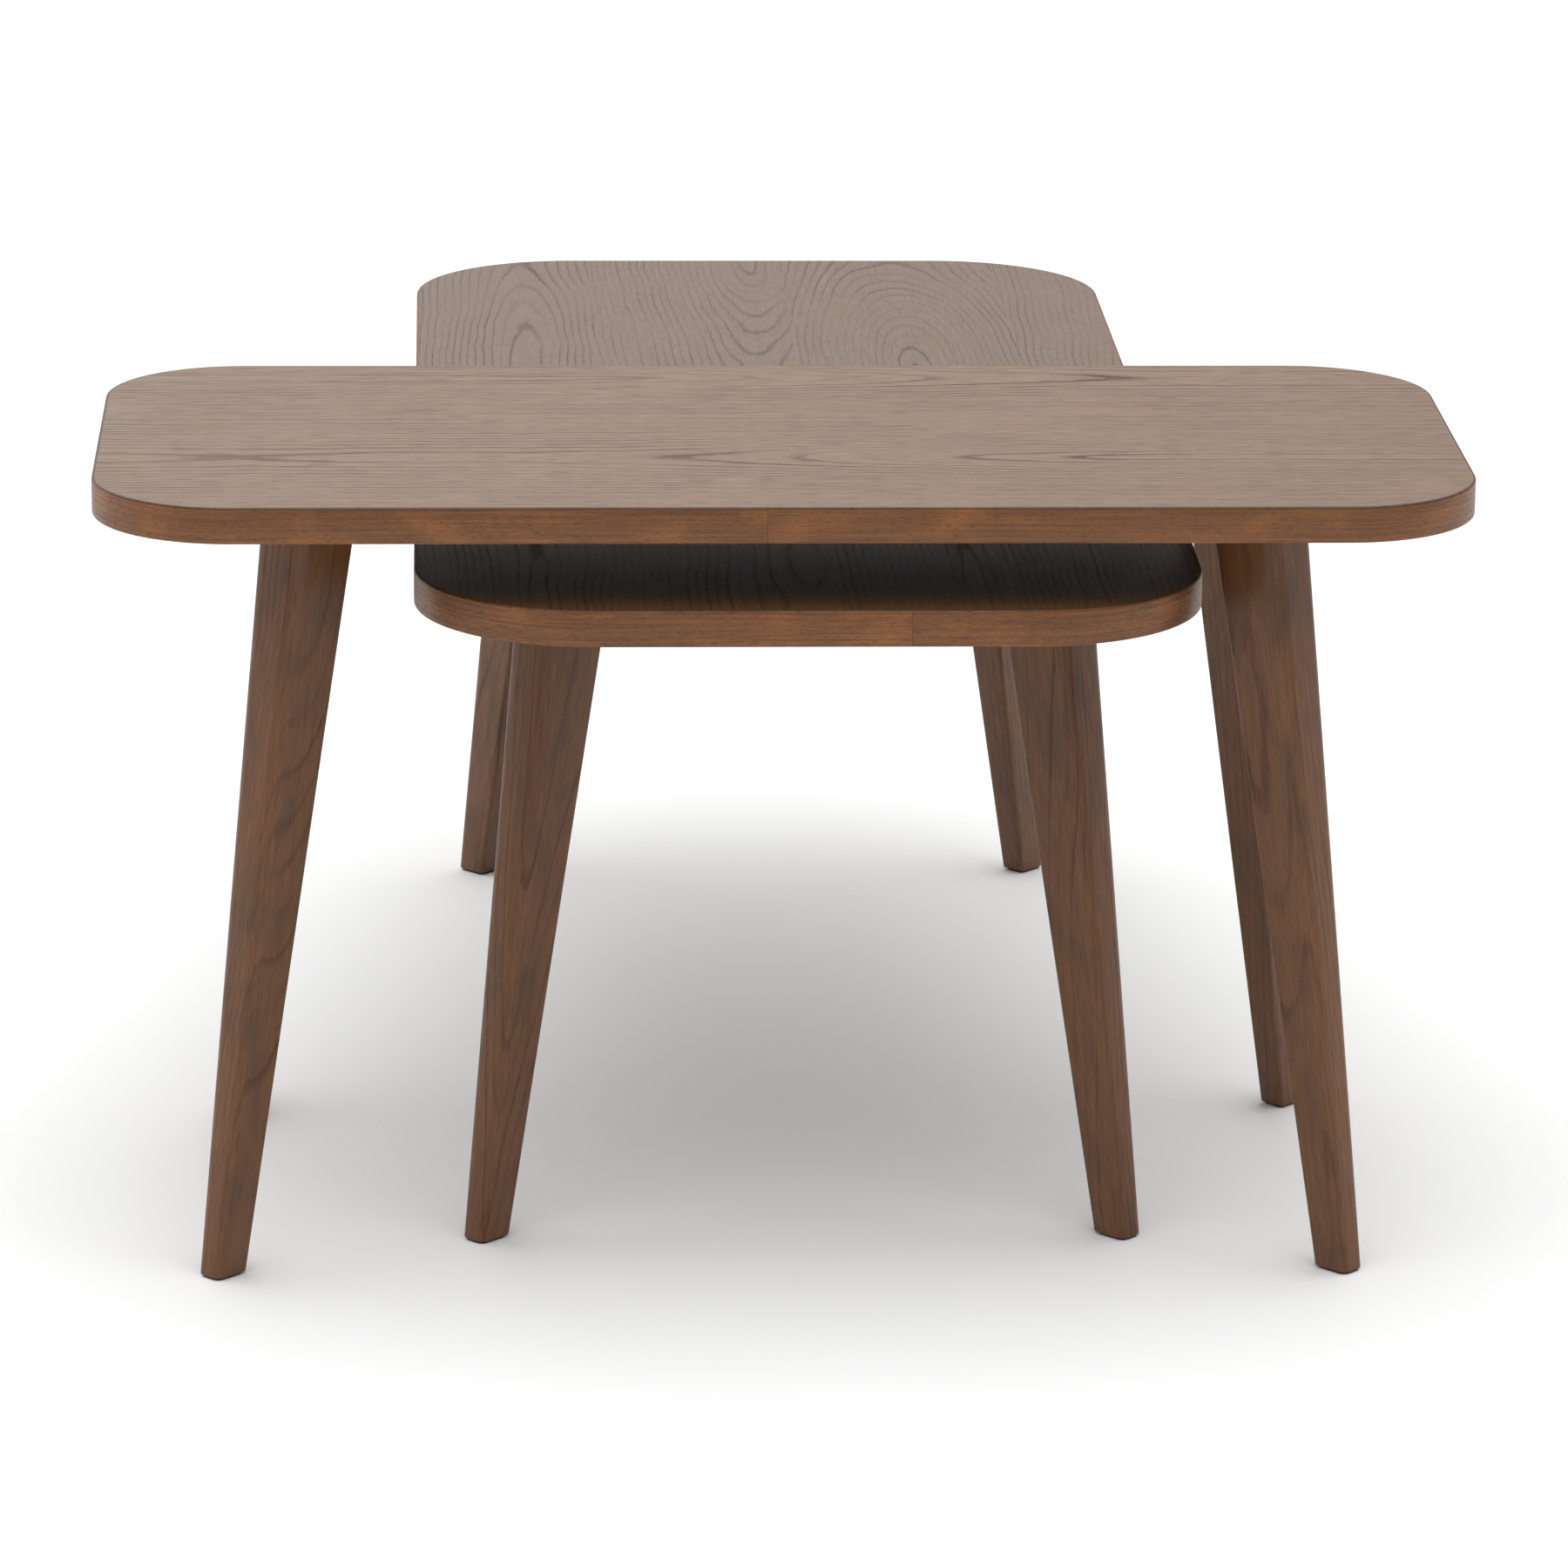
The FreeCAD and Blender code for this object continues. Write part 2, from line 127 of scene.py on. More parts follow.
def stained_ash(name, ring_width, wander, lines, specks, pore_length, patches, roughness, relief,
                tones):
    """Walnut-stained ash under matt lacquer: dark broken lines of open pores on warm brown.

    It is drawn in the timber's own millimetres. Every mesh point carries "grain", its place
    along, across and into the timber; "log", the depth of the pith there, how fast that depth
    changes, and where along; and "board", a number that tells its piece from the others.
    Growth rings are shells round the pith, and draw flames where they graze the surface.

    ring_width and pore_length are in millimetres, and wander is how far the log's crooks move
    the rings. lines, specks and patches say how strongly the rings' pores, the loose pores and
    the uneven stain show. tones are dark and light wood, pores, and patches.
    """
    dark, light, pore, patchy = (linear(code) for code in tones)
    material, tree, shader = new_material(name)
    metres = add_node(tree, "ShaderNodeAttribute", {"attribute_name": "grain"}, output="Vector")
    timber = add_node(tree, "ShaderNodeVectorMath", {"operation": "SCALE"}, {0: metres, "Scale": 1000.0})
    along, across, into = add_node(tree, "ShaderNodeSeparateXYZ", links={0: timber}).node.outputs
    log = add_node(tree, "ShaderNodeAttribute", {"attribute_name": "log"}, output="Vector")
    depth, lean, start = add_node(tree, "ShaderNodeSeparateXYZ", links={0: log}).node.outputs
    board = add_node(tree, "ShaderNodeAttribute", {"attribute_name": "board"}, output="Fac")
    # every board looks at its own part of each noise
    own = add_node(tree, "ShaderNodeVectorMath", {"operation": "SCALE"},
                   {0: (13.7, 7.9, 3.3), "Scale": board})

    # the pith's depth rises or falls past "start" and levels out this far from there
    level_out = 150.0
    past = add_node(tree, "ShaderNodeMath", {"operation": "SUBTRACT"}, {0: along, 1: start})
    share = add_node(tree, "ShaderNodeMath", {"operation": "DIVIDE"}, {0: past, 1: level_out})
    bend = add_node(tree, "ShaderNodeMath", {"operation": "TANH"}, {0: share})
    rise = add_node(tree, "ShaderNodeMath", {"operation": "MULTIPLY"}, {0: bend, 1: lean})
    level = add_node(tree, "ShaderNodeMath", {"operation": "MULTIPLY_ADD"},
                     {0: rise, 1: level_out, 2: depth})
    deep = add_node(tree, "ShaderNodeMath", {"operation": "ADD"}, {0: level, 1: into})

    # slow crooks in the log, 100 mm long and more
    crook_place = add_node(tree, "ShaderNodeVectorMath", {"operation": "MULTIPLY_ADD"},
                           {0: timber, 1: (0.008, 0.014, 0.014), 2: own})
    crook = add_node(tree, "ShaderNodeTexNoise",
                     links={"Vector": crook_place, "Scale": 1.0, "Detail": 2.0, "Roughness": 0.35},
                     output="Color")
    aside, down, _ = add_node(tree, "ShaderNodeSeparateColor", links={0: crook}).node.outputs
    wide_off = add_node(tree, "ShaderNodeMath", {"operation": "MULTIPLY_ADD"},
                        {0: aside, 1: wander, 2: across})
    deep_off = add_node(tree, "ShaderNodeMath", {"operation": "MULTIPLY_ADD"},
                        {0: down, 1: wander, 2: deep})
    arm = add_node(tree, "ShaderNodeCombineXYZ", links={0: wide_off, 1: deep_off})
    centred = add_node(tree, "ShaderNodeVectorMath", {"operation": "SUBTRACT"},
                       {0: arm, 1: (wander / 2, wander / 2, 0.0)})
    reach = add_node(tree, "ShaderNodeVectorMath", {"operation": "LENGTH"}, {0: centred}, output="Value")

    # rings, with edges ragged by a fraction of a year
    ragged_place = add_node(tree, "ShaderNodeVectorMath", {"operation": "MULTIPLY_ADD"},
                            {0: timber, 1: (0.05, 0.35, 0.35), 2: own})
    ragged = add_node(tree, "ShaderNodeTexNoise",
                      links={"Vector": ragged_place, "Scale": 1.0, "Detail": 2.0})
    years = add_node(tree, "ShaderNodeMath", {"operation": "DIVIDE"}, {0: reach, 1: ring_width})
    aged = add_node(tree, "ShaderNodeMath", {"operation": "MULTIPLY_ADD"}, {0: ragged, 1: 0.24, 2: years})
    year = add_node(tree, "ShaderNodeMath", {"operation": "FRACT"}, {0: aged})
    count = add_node(tree, "ShaderNodeMath", {"operation": "FLOOR"}, {0: aged})
    # some years show strongly and some hardly
    growth = add_node(tree, "ShaderNodeTexWhiteNoise", {"noise_dimensions": "1D"}, {"W": count},
                      output="Value")
    vigour = add_node(tree, "ShaderNodeMapRange", links={"Value": growth, "To Min": 0.3, "To Max": 1.0})
    # spring wood is full of pores at the start of a year, and the rest of the year has none
    line = add_node(tree, "ShaderNodeValToRGB", links={"Fac": year})
    ramp = line.node.color_ramp
    ramp.elements[0].color = (0.8, 0.8, 0.8, 1)
    ramp.elements[1].color = (0.3, 0.3, 0.3, 1)
    for position, value in ((0.10, 1.0), (0.26, 0.12), (0.60, 0.0), (0.88, 0.0)):
        ramp.elements.new(position).color = (value, value, value, 1)

    # pores: dashes drawn 0.6 mm wide, twice their real width, so that they show
    pore_place = add_node(tree, "ShaderNodeVectorMath", {"operation": "MULTIPLY_ADD"},
                          {0: timber, 1: (1 / pore_length, 1.6, 1.6), 2: own})
    pores = add_node(tree, "ShaderNodeTexNoise",
                     links={"Vector": pore_place, "Scale": 1.0, "Detail": 2.5, "Roughness": 0.6})
    dash = add_node(tree, "ShaderNodeMapRange", links={"Value": pores, "From Min": 0.30, "From Max": 0.50})
    dashed = add_node(tree, "ShaderNodeMath", {"operation": "MULTIPLY"}, {0: line, 1: dash})
    drawn = add_node(tree, "ShaderNodeMath", {"operation": "MULTIPLY"}, {0: dashed, 1: vigour})
    # lines fade in and out along the log
    taken = add_node(tree, "ShaderNodeMapRange", links={"Value": aside, "From Min": 0.38, "From Max": 0.58,
                                                        "To Min": 0.4 * lines, "To Max": lines})
    ring_marks = add_node(tree, "ShaderNodeMath", {"operation": "MULTIPLY"}, {0: drawn, 1: taken})
    loose = add_node(tree, "ShaderNodeMapRange", links={"Value": pores, "From Min": 0.52, "From Max": 0.66,
                                                        "To Max": specks})
    marks = add_node(tree, "ShaderNodeMath", {"operation": "MAXIMUM"}, {0: ring_marks, 1: loose})

    # fibres: long fine streaks about 1 mm apart
    fibre_place = add_node(tree, "ShaderNodeVectorMath", {"operation": "MULTIPLY_ADD"},
                           {0: timber, 1: (0.010, 0.9, 0.9), 2: own})
    fibres = add_node(tree, "ShaderNodeTexNoise",
                      links={"Vector": fibre_place, "Scale": 1.0, "Detail": 5.0, "Roughness": 0.7})
    streak = add_node(tree, "ShaderNodeMapRange", links={"Value": fibres, "From Min": 0.34, "From Max": 0.66})
    tone = add_node(tree, "ShaderNodeMix", {"data_type": "RGBA"},
                    {"Factor": streak, 6: dark, 7: light}, output=2)

    # stain taken unevenly, in patches some 40 mm long
    patch_place = add_node(tree, "ShaderNodeVectorMath", {"operation": "MULTIPLY_ADD"},
                           {0: timber, 1: (0.022, 0.05, 0.05), 2: own})
    patch = add_node(tree, "ShaderNodeTexNoise",
                     links={"Vector": patch_place, "Scale": 1.0, "Detail": 2.0})
    uneven = add_node(tree, "ShaderNodeMapRange", links={"Value": patch, "From Min": 0.48,
                                                         "From Max": 0.72, "To Max": patches})
    stained = add_node(tree, "ShaderNodeMix", {"data_type": "RGBA"},
                       {"Factor": uneven, 6: tone, 7: patchy}, output=2)
    inked = add_node(tree, "ShaderNodeMix", {"data_type": "RGBA"},
                     {"Factor": marks, 6: stained, 7: pore}, output=2)
    # a band's mesh marks its upper arris with "arris", where the colour is drawn darker, toward the pore
    # colour; elsewhere it is zero
    arris = add_node(tree, "ShaderNodeAttribute", {"attribute_name": "arris"}, output="Fac")
    edged = add_node(tree, "ShaderNodeMix", {"data_type": "RGBA"},
                     {"Factor": arris, 6: inked, 7: pore}, output=2)
    tree.links.new(edged, shader.inputs["Base Color"])

    # the lacquer sinks into the pores, duller there with a fine groove, and is rubbed unevenly
    rubbed = add_node(tree, "ShaderNodeMapRange", links={"Value": patch, "To Min": roughness - 0.04,
                                                         "To Max": roughness + 0.04})
    dulled = add_node(tree, "ShaderNodeMath", {"operation": "MULTIPLY_ADD"}, {0: marks, 1: 0.4, 2: rubbed})
    tree.links.new(dulled, shader.inputs["Roughness"])
    groove = add_node(tree, "ShaderNodeMath", {"operation": "MULTIPLY_ADD"}, {0: marks, 1: -1.5, 2: fibres})
    bump = add_node(tree, "ShaderNodeBump", links={"Height": groove, "Distance": 0.0001, "Strength": relief})
    tree.links.new(bump, shader.inputs["Normal"])
    shader.inputs["IOR"].default_value = 1.5
    return material


def mesh_piece(name, points, faces, wood, stands_for, material, table):
    """Make a mesh piece that replaces a CAD node. wood holds each point's grain, log and board."""
    mesh = bpy.data.meshes.new(name)
    mesh.from_pydata(points, [], faces)
    grain, log, board = zip(*wood)
    for title, kind, field, values in (("grain", "FLOAT_VECTOR", "vector", [c for g in grain for c in g]),
                                       ("log", "FLOAT_VECTOR", "vector", [c for g in log for c in g]),
                                       ("board", "FLOAT", "value", board)):
        mesh.attributes.new(title, kind, "POINT").data.foreach_set(field, values)
    mesh.shade_smooth()
    mesh.set_sharp_from_angle(angle=math.radians(25))
    piece = bpy.data.objects.new(name, mesh)
    bpy.context.scene.collection.objects.link(piece)
    dress(piece, material)
    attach(piece, f"{table}_table")
    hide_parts(stands_for)
    return piece


def rounded_outline(low, high, radius, steps=28):
    """Points round a rounded rectangle, anticlockwise, each with its outward direction."""
    corners = ((high.x, low.y, 270), (high.x, high.y, 0), (low.x, high.y, 90), (low.x, low.y, 180))
    for corner_x, corner_y, first in corners:
        centre_x = corner_x - math.copysign(radius, corner_x - (low.x + high.x) / 2)
        centre_y = corner_y - math.copysign(radius, corner_y - (low.y + high.y) / 2)
        for step in range(steps + 1):
            angle = math.radians(first + 90 * step / steps)
            out = Vector((math.cos(angle), math.sin(angle)))
            yield Vector((centre_x, centre_y)) + radius * out, out


# outer corner radii of the two tops, and what the band takes off them, in metres
TOP_RADIUS = {"tall": 0.089, "low": 0.115}
BAND = 0.002

# the leaves of each top, from one side to the other, in metres: where each ends, where its pith
# lies across, and the pith's depth in millimetres, how fast it changes and where along
LEAVES = {
    "tall": (
        (-0.262, -0.383, (24.0, -0.11, 60.0)),
        (None, -0.157, (22.0, 0.10, 40.0)),
    ),
    "low": (
        (-0.108, -0.157, (20.0, 0.08, 380.0)),
        (0.035, 0.013, (24.0, -0.15, 380.0)),
        (0.196, 0.120, (42.0, 0.22, 380.0)),
        (None, 0.420, (60.0, 0.10, 260.0)),
    ),
}


# boards are numbered by table, with the backing leaves after the face leaves
TABLE_BOARDS = 10
BACKING_BOARDS = 5


def clipped(outline, axis, low, high):
    """The part of a convex outline between two limits along one axis."""
    for limit, keep in ((low, 1), (high, -1)):
        kept = []
        for here, after in zip(outline, outline[1:] + outline[:1]):
            inside, next_inside = (keep * (p[axis] - limit) >= 0 for p in (here, after))
            if inside:
                kept.append(here)
            if inside != next_inside:
                kept.append(here.lerp(after, (limit - here[axis]) / (after[axis] - here[axis])))
        outline = kept
    return outline


def veneer_sheet(table, which, material):
    """One face's veneer leaves. Their grain runs along X on the tall top, along Y on the low one."""
    node = f"{table}_{which}_veneer"
    low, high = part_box(node)
    outline = [p for p, _ in rounded_outline(low, high, TOP_RADIUS[table] - BAND)]
    axis = 1 if table == "tall" else 0
    points, faces, wood = [], [], []
    edge = low[axis]
    for number, (end, pith, log) in enumerate(LEAVES[table]):
        end = high[axis] if end is None else end
        leaf = clipped(outline, axis, edge, end)
        edge = end
        first, count = len(points), len(leaf)
        board = number + TABLE_BOARDS * TABLES.index(table) + (BACKING_BOARDS if which == "backing" else 0)
        for z in (low.z, high.z):
            points += [(p.x, p.y, z) for p in leaf]
            wood += [((p[1 - axis], p[axis] - pith, 0.0), log, board) for p in leaf]
        faces.append([first + i for i in reversed(range(count))])
        faces.append([first + count + i for i in range(count)])
        faces += [[first + i, first + (i + 1) % count, first + count + (i + 1) % count, first + count + i]
                  for i in range(count)]
    return mesh_piece(f"{node}_leaves", points, faces, wood, node, material, table)


# tall top, straight grain with long thin flames: fine dark lines on an even brown, and a satin
# lacquer that whitens where light grazes it
tall_ash = stained_ash("walnut_stained_ash_straight", ring_width=6.0, wander=7, lines=1.0, specks=0.6,
                       pore_length=22, patches=0.1, roughness=0.30, relief=0.12,
                       tones=("#5c3c17", "#754e1f", "#140d07", "#845526"))
# low top, wider leaves with broad flames and arches: fewer, softer lines
low_ash = stained_ash("walnut_stained_ash_flamed", ring_width=5.2, wander=11, lines=0.62, specks=0.25,
                      pore_length=12, patches=0.15, roughness=0.34, relief=0.12,
                      tones=("#4c3012", "#603e18", "#1a1109", "#6c4722"))
# backing leaves, darkened as painted shade so that the underside and its reflection read near black, and dull
shade_darkened_backing_ash = stained_ash("backing_ash_darkened_as_painted_shade", ring_width=5.0, wander=8, lines=0.5, specks=0.5,
                          pore_length=15, patches=0.2, roughness=0.60, relief=0.3,
                          tones=("#2c1c0c", "#472e13", "#140d07", "#3c2812"))
for table, ash in (("tall", tall_ash), ("low", low_ash)):
    veneer_sheet(table, "face", ash)
    veneer_sheet(table, "backing", shade_darkened_backing_ash)

# ------------------------------------------------------------------ edge bands
# A strip of ash 2 mm thick, bent round the edge of the board and glued, with its ends butted
# together at the front. Both arrises are rounded by sanding, and the upper one is drawn darker.

ARRIS = 0.0015
ARRIS_STEPS = 4
# where the strip's two ends meet, counted along the front edge from the middle of the top
JOINT_PLACE = {"tall": -0.015, "low": 0.06}
JOINT_GAP = 0.00015
# how much darker the upper arris is drawn, toward the pore colour
ARRIS_DARKENING = {"tall": 0.8, "low": 0.3}
BAND_BOARDS = 20


def band_profile(height):
    """The strip's section: pairs of distance in from the outer edge, and height."""
    lower = []
    for step in range(ARRIS_STEPS + 1):
        angle = math.pi / 2 * step / ARRIS_STEPS
        lower.append((ARRIS * (1 - math.sin(angle)), ARRIS * (1 - math.cos(angle))))
    upper = [(inward, height - z) for inward, z in reversed(lower)]
    return [(BAND, 0.0)] + lower + upper + [(BAND, height)]


def band_strip(table, material):
    """The strip swept round the top, from one side of its butt joint to the other."""
    node = f"{table}_edge_band"
    low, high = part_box(node)
    path = list(rounded_outline(low, high, TOP_RADIUS[table]))
    middle = (low.x + high.x) / 2 + JOINT_PLACE[table]
    down = Vector((0, -1))
    start = (Vector((middle + JOINT_GAP / 2, low.y)), down)
    end = (Vector((middle - JOINT_GAP / 2, low.y)), down)
    path = [start] + path + [end]
    profile = band_profile(high.z - low.z)
    points, wood = [], []
    # straight grain, sawn well away from the pith
    pith, log = 0.09, (60.0, 0.03, 400.0)
    run = 0.0
    for index, (place, out) in enumerate(path):
        if index:
            run += (place - path[index - 1][0]).length
        for inward, height in profile:
            spot = place - inward * out
            points.append((spot.x, spot.y, low.z + height))
            wood.append(((run, height - inward + pith, 0.0), log, BAND_BOARDS + TABLES.index(table)))
    size = len(profile)
    top_z = profile[-1][1]
    upper = [height > top_z - ARRIS and 0.0001 < inward <= ARRIS for inward, height in profile]
    faces = []
    for column in range(len(path) - 1):
        for row in range(size):
            here = column * size + row
            above = column * size + (row + 1) % size
            faces.append((here, here + size, above + size, above))
    last = (len(path) - 1) * size
    faces.append(tuple(range(size)))
    faces.append(tuple(last + row for row in reversed(range(size))))
    strip = mesh_piece(f"{node}_strip", points, faces, wood, node, material, table)
    # the upper arris is drawn darker, toward the pore colour
    arris_darkening = strip.data.attributes.new("arris", "FLOAT", "POINT")
    arris_darkening.data.foreach_set("value", [ARRIS_DARKENING[table] * marked for marked in upper] * len(path))


# the strip's pores are short and scattered, and it takes the stain in warm reddish patches
band_ash = stained_ash("walnut_stained_ash_band", ring_width=3.6, wander=6, lines=0.5, specks=0.5,
                       pore_length=5, patches=0.4, roughness=0.42, relief=0.4,
                       tones=("#5c3714", "#865223", "#22130a", "#a8662d"))
for table in TABLES:
    band_strip(table, band_ash)

# ------------------------------------------------------------------ legs
# Solid ash, sawn tapered from a square blank, turned by 45 degrees so that its faces look at the
# corners, rounder on the outer side, and cut level at both ends. Stained and lacquered as the tops.

LEG_ENDS = {
    # radial and tangential size, outer and inner corner radius, in metres
    "foot": (0.026, 0.020, 0.006, 0.003),
    "top": (0.050, 0.042, 0.010, 0.003),
}
CORNERS = {"front_left": (-1, -1), "front_right": (1, -1), "back_left": (-1, 1), "back_right": (1, 1)}
CORNER_STEPS = 8
LEG_ROWS = 40
END_CHAMFER = 0.0006
LEG_BOARDS = 30


def leg_section(share, inset):
    """Outline of the leg at a share of its height: (radial, tangential) points, anticlockwise."""
    radial, tangential, outer, inner = (
        foot + share * (top - foot) for foot, top in zip(LEG_ENDS["foot"], LEG_ENDS["top"]))
    corners = ((1, -1, outer, 270), (1, 1, outer, 0), (-1, 1, inner, 90), (-1, -1, inner, 180))
    for side_r, side_t, radius, first in corners:
        centre_r = side_r * (radial / 2 - radius)
        centre_t = side_t * (tangential / 2 - radius)
        for step in range(CORNER_STEPS + 1):
            angle = math.radians(first + 90 * step / CORNER_STEPS)
            yield (centre_r + (radius - inset) * math.cos(angle),
                   centre_t + (radius - inset) * math.sin(angle))


def leg_middles(table, corner):
    """Middles of a leg's foot and top, found from its felt pad and its plate."""
    pad_low, pad_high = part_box(f"{table}_felt_pad_{corner}")
    plate_low, plate_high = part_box(f"{table}_leg_plate_{corner}")
    foot = (pad_low + pad_high) / 2
    top = (plate_low + plate_high) / 2
    return Vector((foot.x, foot.y, pad_high.z)), Vector((top.x, top.y, plate_low.z))


def tapered_leg(table, corner, number, pith, log, material):
    """One leg, lofted from foot to plate, with a fine chamfer round its foot."""
    node = f"{table}_leg_{corner}"
    foot, top = leg_middles(table, corner)
    side_x, side_y = CORNERS[corner]
    outward = Vector((side_x, side_y, 0)).normalized()
    sideways = Vector((-outward.y, outward.x, 0))
    height = top.z - foot.z
    rows = [(0.0, END_CHAMFER), (END_CHAMFER / height, 0.0)]
    rows += [(row / LEG_ROWS, 0.0) for row in range(1, LEG_ROWS + 1)]
    points, wood = [], []
    for share, inset in rows:
        centre = foot.lerp(top, share)
        for radial, tangential in leg_section(share, inset):
            points.append(centre + radial * outward + tangential * sideways)
            wood.append(((share * height, radial - pith, tangential), log, LEG_BOARDS + number))
    size = len(points) // len(rows)
    faces = []
    for row in range(len(rows) - 1):
        for column in range(size):
            here = row * size + column
            beside = row * size + (column + 1) % size
            faces.append((here, beside, beside + size, here + size))
    last = (len(rows) - 1) * size
    faces.append(tuple(reversed(range(size))))
    faces.append(tuple(range(last, last + size)))
    return mesh_piece(f"{node}_timber", points, faces, wood, node, material, table)


# every leg comes from a board of its own: how far its pith lies out from the leg's middle in
# metres, and the pith's depth in millimetres, how fast it changes and where along
LEG_TIMBER = {
    "tall_front_left": (0.006, (55.0, -0.20, 250.0)),
    "tall_front_right": (-0.012, (-62.0, 0.11, 200.0)),
    "tall_back_left": (-0.045, (40.0, 0.10, 300.0)),
    "tall_back_right": (0.025, (50.0, 0.06, 100.0)),
    "low_front_left": (-0.034, (50.0, 0.07, 150.0)),
    "low_front_right": (0.032, (-50.0, -0.07, 260.0)),
    "low_back_left": (0.030, (45.0, -0.10, 200.0)),
    "low_back_right": (-0.040, (38.0, 0.08, 300.0)),
}
# wide soft figure, with grey-brown patches where the timber drank more stain
leg_ash = stained_ash("walnut_stained_solid_ash", ring_width=4.6, wander=8, lines=0.6, specks=0.35,
                      pore_length=16, patches=0.55, roughness=0.42, relief=0.4,
                      tones=("#5f3c1d", "#7b4e29", "#22160c", "#4a3623"))
for number, (leg, (pith, log)) in enumerate(LEG_TIMBER.items()):
    table, corner = leg.split("_", 1)
    tapered_leg(table, corner, number, pith, log, leg_ash)

# ------------------------------------------------------------------ leg plates and fasteners
# Pressed steel plates, zinc plated, one between each leg and the top. Two countersunk wood
# screws hold a plate to its leg, and four black button-head screws turn into threaded inserts.


def zinc_plate():
    """Bright zinc plating on pressed steel: pale grey metal with a soft mottled spangle."""
    material, tree, shader = new_material("zinc_plated_steel")
    place = add_node(tree, "ShaderNodeTexCoord", output="Object")
    # crystals about 4 mm across
    spangle = add_node(tree, "ShaderNodeTexVoronoi", links={"Vector": place, "Scale": 250.0}, output="Color")
    tone = add_node(tree, "ShaderNodeMix", {"data_type": "RGBA"},
                    {"Factor": spangle, 6: linear("#a9acaf"), 7: linear("#c4c7c9")}, output=2)
    tree.links.new(tone, shader.inputs["Base Color"])
    rough = add_node(tree, "ShaderNodeMapRange", links={"Value": spangle, "To Min": 0.28, "To Max": 0.42})
    tree.links.new(rough, shader.inputs["Roughness"])
    shader.inputs["Metallic"].default_value = 1.0
    return material


def black_oxide():
    """Black oxide on a cold-headed screw: near black, oiled, with a low sheen."""
    material, tree, shader = new_material("black_oxide_steel")
    place = add_node(tree, "ShaderNodeTexCoord", output="Object")
    wear = add_node(tree, "ShaderNodeTexNoise", links={"Vector": place, "Scale": 900.0, "Detail": 3.0})
    tone = add_node(tree, "ShaderNodeMix", {"data_type": "RGBA"},
                    {"Factor": wear, 6: linear("#1b1b1c"), 7: linear("#38383a")}, output=2)
    tree.links.new(tone, shader.inputs["Base Color"])
    shader.inputs["Metallic"].default_value = 1.0
    shader.inputs["Roughness"].default_value = 0.45
    return material


zinc = zinc_plate()
black = black_oxide()
for table in TABLES:
    for corner in CORNERS:
        dress(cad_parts[f"{table}_leg_plate_{corner}"], zinc)
    dress(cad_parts[f"{table}_threaded_inserts"], zinc)
    dress(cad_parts[f"{table}_leg_screws"], zinc)

# sizes of one screw, in metres
SCREW_SIDES = 24
SCREW_RADIUS = 0.0030
SCREW_LENGTH = 0.0140
TIP_CHAMFER = 0.0006
HEAD_RADIUS = 0.00525
HEAD_HEIGHT = 0.0033
SOCKET_ACROSS_FLATS = 0.004
SOCKET_FLOOR = 0.0013


def ring(radius, height, flats=0.0):
    """A ring of points; with flats, a hexagon that wide across its flats."""
    for step in range(SCREW_SIDES):
        angle = math.tau * step / SCREW_SIDES
        from_flat = (angle + math.pi / 6) % (math.pi / 3) - math.pi / 6
        reach = flats / 2 / math.cos(from_flat) if flats else radius
        yield Vector((reach * math.cos(angle), reach * math.sin(angle), height))


def button_head_screw():
    """Rings of one screw from its socket's floor to its tip, with its head's underside at zero."""
    rings = [ring(0, -SOCKET_FLOOR, SOCKET_ACROSS_FLATS),
             ring(0, -HEAD_HEIGHT + 0.0002, SOCKET_ACROSS_FLATS),
             ring(0, -HEAD_HEIGHT, SOCKET_ACROSS_FLATS + 0.0004)]
    for step in range(5):
        angle = math.pi / 2 * step / 4
        rings.append(ring(SCREW_RADIUS + (HEAD_RADIUS - SCREW_RADIUS) * math.sin(angle),
                          -0.0006 - (HEAD_HEIGHT - 0.0006) * math.cos(angle)))
    rings += [ring(HEAD_RADIUS, -0.0001), ring(HEAD_RADIUS - 0.0001, 0.0), ring(SCREW_RADIUS, 0.0),
              ring(SCREW_RADIUS, SCREW_LENGTH - TIP_CHAMFER), ring(SCREW_RADIUS - TIP_CHAMFER, SCREW_LENGTH)]
    return [list(points) for points in rings]


def plate_screws(table):
    """The sixteen screws under one table, heads down."""
    node = f"{table}_plate_bolts"
    plates = [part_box(f"{table}_leg_plate_{corner}") for corner in CORNERS]
    # four screws round each plate's middle; the furthest one ends the group's box
    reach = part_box(node)[1].x - HEAD_RADIUS - max((low.x + high.x) / 2 for low, high in plates)
    points, faces = [], []
    for low, high in plates:
        middle = (low + high) / 2
        for turn_x, turn_y in ((1, 0), (0, 1), (-1, 0), (0, -1)):
            seat = Vector((middle.x + turn_x * reach, middle.y + turn_y * reach, low.z))
            first = len(points)
            rings = button_head_screw()
            points += [seat + point for points_in_ring in rings for point in points_in_ring]
            faces.append([first + i for i in range(SCREW_SIDES)])
            for row in range(len(rings) - 1):
                base = first + row * SCREW_SIDES
                faces += [[base + i, base + SCREW_SIDES + i, base + SCREW_SIDES + (i + 1) % SCREW_SIDES,
                           base + (i + 1) % SCREW_SIDES] for i in range(SCREW_SIDES)]
            last = first + (len(rings) - 1) * SCREW_SIDES
            faces.append([last + i for i in reversed(range(SCREW_SIDES))])
    mesh = bpy.data.meshes.new(node + "_heads")
    mesh.from_pydata(points, [], faces)
    mesh.shade_smooth()
    mesh.set_sharp_from_angle(angle=math.radians(35))
    piece = bpy.data.objects.new(mesh.name, mesh)
    bpy.context.scene.collection.objects.link(piece)
    dress(piece, black)
    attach(piece, f"{table}_table")
    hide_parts(node)


for table in TABLES:
    plate_screws(table)

# ------------------------------------------------------------------ felt pads
# Pressed wool felt, 1.5 mm thick, cut a little smaller than the foot and stuck under it.


